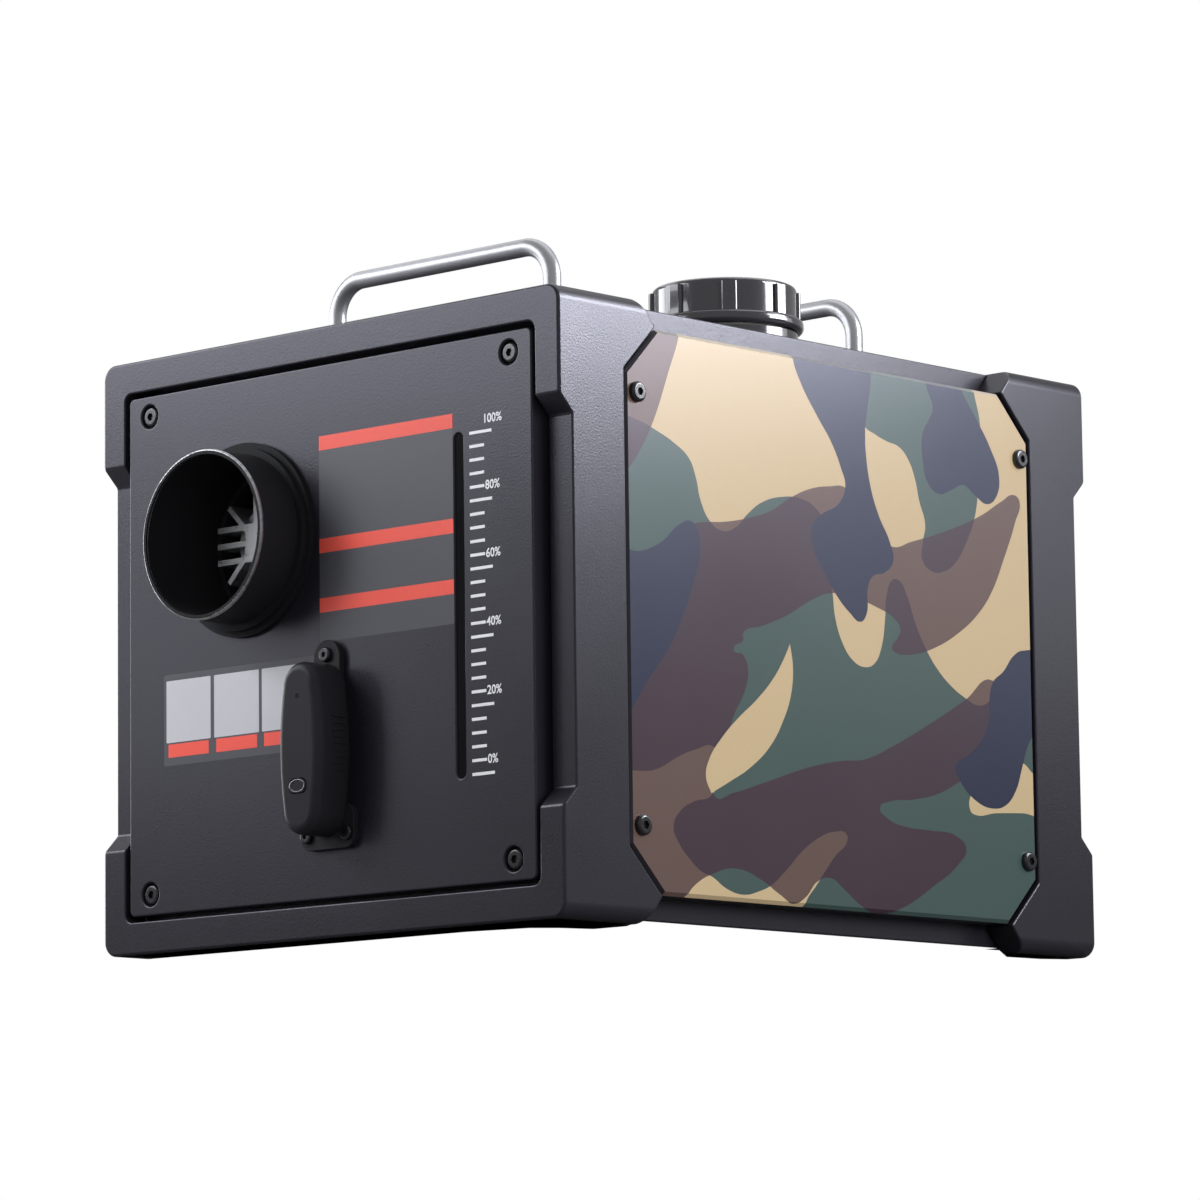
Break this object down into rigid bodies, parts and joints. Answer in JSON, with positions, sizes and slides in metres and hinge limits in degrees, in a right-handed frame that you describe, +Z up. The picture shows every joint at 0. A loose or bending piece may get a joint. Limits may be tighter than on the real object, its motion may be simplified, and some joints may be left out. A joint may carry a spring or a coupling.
{
  "type": "parking heater",
  "caption": "Portable air parking heater in a carrying case: round hot-air outlet, fuel tank inside with a screw cap on top, carrying handles, rear air inlet and remote control on a holder.",
  "frame": {"origin": "middle of the case's underside, on the floor", "axes": "+Z up, -Y out of the hot-air outlet, +X to the filler's side"},
  "size_m": [0.2862, 0.4112, 0.31],
  "materials": {
    "case_plastic": "fine moulded grain, dark grey",
    "case_paint": "powder coat, dark grey",
    "camouflage_panel": "printed camouflage under clear satin coat",
    "black_screw": "black oxide",
    "handle_steel": "polished stainless steel",
    "bright_steel": "zinc plated",
    "duct_plastic": "heat-proof black, satin",
    "gloss_black": "polished black",
    "smoked_clear": "smoked clear",
    "tank_plastic": "milky polyethylene",
    "black_rubber": "matte",
    "cast_aluminium": "rough casting",
    "heater_plastic": "glass-filled black",
    "pipe_steel": "drawn stainless steel",
    "motor_paint": "grey",
    "fan_plastic": "moulded",
    "board_green": "solder mask",
    "remote_plastic": "soft-touch black",
    "battery_steel": "plated"
  },
  "bodies": {
    "case": {"front_end_cap": "case_plastic", "rear_end_cap": "case_plastic", "base_tray": "case_paint", "top_cover": "case_paint", "front_panel": "case_plastic", "rear_panel": "case_plastic", "right_side_panel": "camouflage_panel", "left_side_panel": "camouflage_panel", "front_panel_screws": "black_screw", "rear_panel_screws": "black_screw", "right_panel_screws": "black_screw", "left_panel_screws": "black_screw", "front_handle": "handle_steel", "rear_handle": "handle_steel", "handle_nuts": "bright_steel", "outlet_duct": "duct_plastic", "outlet_lock_ring": "duct_plastic", "level_window": "smoked_clear", "fuel_tank": "tank_plastic", "filler_ring": "gloss_black", "fuel_pickup": "bright_steel", "suction_line": "black_rubber", "fuel_pump": "bright_steel", "pump_clamp": "black_rubber", "feed_line": "black_rubber", "heater_lower_casing": "heater_plastic", "heater_upper_casing": "heater_plastic", "outlet_hood": "heater_plastic", "heat_exchanger": "cast_aluminium", "combustion_chamber": "pipe_steel", "burner_housing": "cast_aluminium", "glow_plug": "bright_steel", "fan_motor": "motor_paint", "heater_stand": "bright_steel", "exhaust_pipe": "pipe_steel", "intake_pipe": "pipe_steel", "pipe_grommets": "black_rubber", "air_inlet_grille": "duct_plastic", "power_socket": "gloss_black", "socket_nut": "bright_steel", "power_lead": "black_rubber", "display_bezel": "gloss_black", "display_lens": "smoked_clear", "control_board": "board_green", "remote_holder": "remote_plastic", "holder_screws": "black_screw"},
    "filler_seal": {"cap_seal": "black_rubber"},
    "filler_cap": {"fuel_cap": "gloss_black"},
    "rotor": {"motor_shaft": "bright_steel", "combustion_fan": "fan_plastic", "blower_wheel": "fan_plastic"},
    "remote": {"remote_base": "remote_plastic", "remote_cover": "remote_plastic", "remote_lamp": "smoked_clear", "remote_battery": "battery_steel"},
    "remote_key": {"remote_button": "remote_plastic"},
    "power_key": {"power_button": "black_rubber"},
    "mode_key": {"mode_button": "black_rubber"},
    "down_key": {"down_button": "black_rubber"},
    "up_key": {"up_button": "black_rubber"}
  },
  "joints": [
    {"name": "seal_rise", "type": "slide", "parent": "case", "child": "filler_seal", "axis": [0, 0, 1], "range_m": [0, 0.0075]},
    {"name": "cap_turn", "type": "hinge", "parent": "filler_seal", "child": "filler_cap", "pos_m": [0.077, 0, 0.285], "axis": [0, 0, 1], "range_deg": [0, 541]},
    {"name": "fan_spin", "type": "hinge", "parent": "case", "child": "rotor", "pos_m": [-0.0491, 0.1, 0.1786], "axis": [0, 1, 0], "continuous": true},
    {"name": "remote_pull", "type": "slide", "parent": "case", "child": "remote", "axis": [0, -1, 0], "range_m": [0, 0.05]},
    {"name": "remote_press", "type": "slide", "parent": "remote", "child": "remote_key", "axis": [0, 1, 0], "range_m": [0, 0.0008], "stiffness_N_per_m": 300},
    {"name": "power_press", "type": "slide", "parent": "case", "child": "power_key", "axis": [0, -1, 0], "range_m": [0, 0.001], "stiffness_N_per_m": 300},
    {"name": "mode_press", "type": "slide", "parent": "case", "child": "mode_key", "axis": [0, -1, 0], "range_m": [0, 0.001], "stiffness_N_per_m": 300},
    {"name": "down_press", "type": "slide", "parent": "case", "child": "down_key", "axis": [0, -1, 0], "range_m": [0, 0.001], "stiffness_N_per_m": 300},
    {"name": "up_press", "type": "slide", "parent": "case", "child": "up_key", "axis": [0, -1, 0], "range_m": [0, 0.001], "stiffness_N_per_m": 300}
  ],
  "couplings": [
    {"joint": "cap_turn", "follows": "seal_rise", "rad_per_m": 1256.6}
  ]
}
